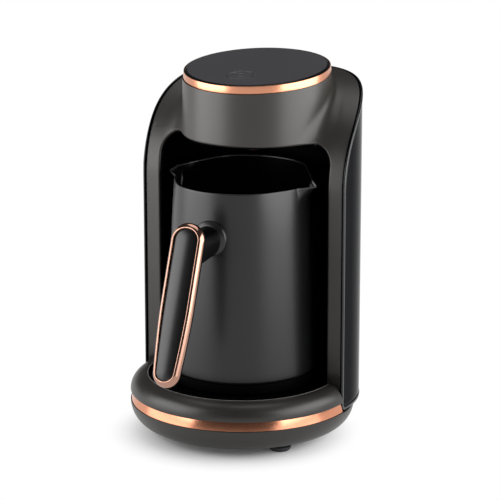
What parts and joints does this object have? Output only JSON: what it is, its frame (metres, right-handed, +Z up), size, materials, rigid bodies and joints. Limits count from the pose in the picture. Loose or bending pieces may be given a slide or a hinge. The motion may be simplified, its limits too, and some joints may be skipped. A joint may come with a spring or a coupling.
{
  "type": "electric turkish coffee maker",
  "caption": "Small electric coffee maker: round base, column with an arched bay, round head with a tilted key panel, and a lift-out two-spout pot with a trimmed handle",
  "frame": {"origin": "on the surface it stands on, under the middle of the object's box", "axes": "+Z up, front of the bay and the handle towards -Y, +X to the right seen from the front"},
  "size_m": [0.153, 0.204, 0.2511],
  "materials": {
    "gunmetal_satin": "satin metallic paint over moulded plastic, fine speckle",
    "pot_gunmetal": "satin non-stick coating on steel",
    "plastic_gloss": "glossy moulded",
    "plastic_black": "satin moulded",
    "panel_slate": "smooth semi-gloss",
    "copper_polished": "polished copper plating",
    "rose_gold": "polished rose-gold plating",
    "insert_satin": "satin, soft sheen",
    "rubber_black": "matte",
    "screw_steel": "zinc plated",
    "contact_brass": "polished",
    "circuit_board": "solder mask",
    "relay_blue": "moulded",
    "component_dark": "moulded",
    "terminal_green": "moulded",
    "sensor_glass": "polished",
    "lamp_clear": "clear",
    "heater_aluminium": "rolled",
    "heater_steel": "drawn sheath",
    "ceramic_cream": "glazed ceramic"
  },
  "bodies": {
    "base": {"feet": "rubber_black", "base_tray": "gunmetal_satin", "base_screws": "screw_steel", "base_deck": "gunmetal_satin", "base_band": "copper_polished", "coupler_boss": "plastic_black", "coupler_nut": "plastic_black", "coupler_contacts": "contact_brass", "front_fascia": "gunmetal_satin", "rear_shell": "plastic_gloss", "shell_screws": "screw_steel", "bay_liner": "plastic_black", "head_underside": "plastic_black", "overflow_sensor": "plastic_black", "sensor_lens": "sensor_glass", "sensor_board": "circuit_board", "power_board": "circuit_board", "power_board_screws": "screw_steel", "relay": "relay_blue", "capacitor": "component_dark", "terminal_block": "terminal_green", "cord_gland": "plastic_black", "gland_nut": "plastic_black", "head_ring": "copper_polished", "control_panel": "panel_slate", "control_board": "circuit_board", "control_board_screws": "screw_steel", "key_switch": "component_dark", "status_light": "lamp_clear", "buzzer": "component_dark"},
    "pot": {"pot_body": "pot_gunmetal", "pot_collar": "plastic_black", "pot_socket": "plastic_black", "pot_contacts": "contact_brass", "heating_plate": "heater_aluminium", "heating_coil": "heater_steel", "thermal_cutout": "ceramic_cream", "handle_flange": "pot_gunmetal", "handle_neck": "plastic_black", "handle_back": "plastic_black", "handle_trim": "rose_gold", "handle_insert": "insert_satin", "handle_screw": "screw_steel"},
    "start_key": {"start_key": "panel_slate"}
  },
  "joints": [
    {"name": "pot_slide", "type": "slide", "parent": "base", "child": "pot", "axis": [0, -0.9703, 0.2419], "range_m": [0, 0.14]},
    {"name": "start_key_press", "type": "slide", "parent": "base", "child": "start_key", "axis": [0, 0.0958, -0.9954], "range_m": [0, 0.001], "stiffness_N_per_m": 1200, "springref_m": -0.0003}
  ]
}
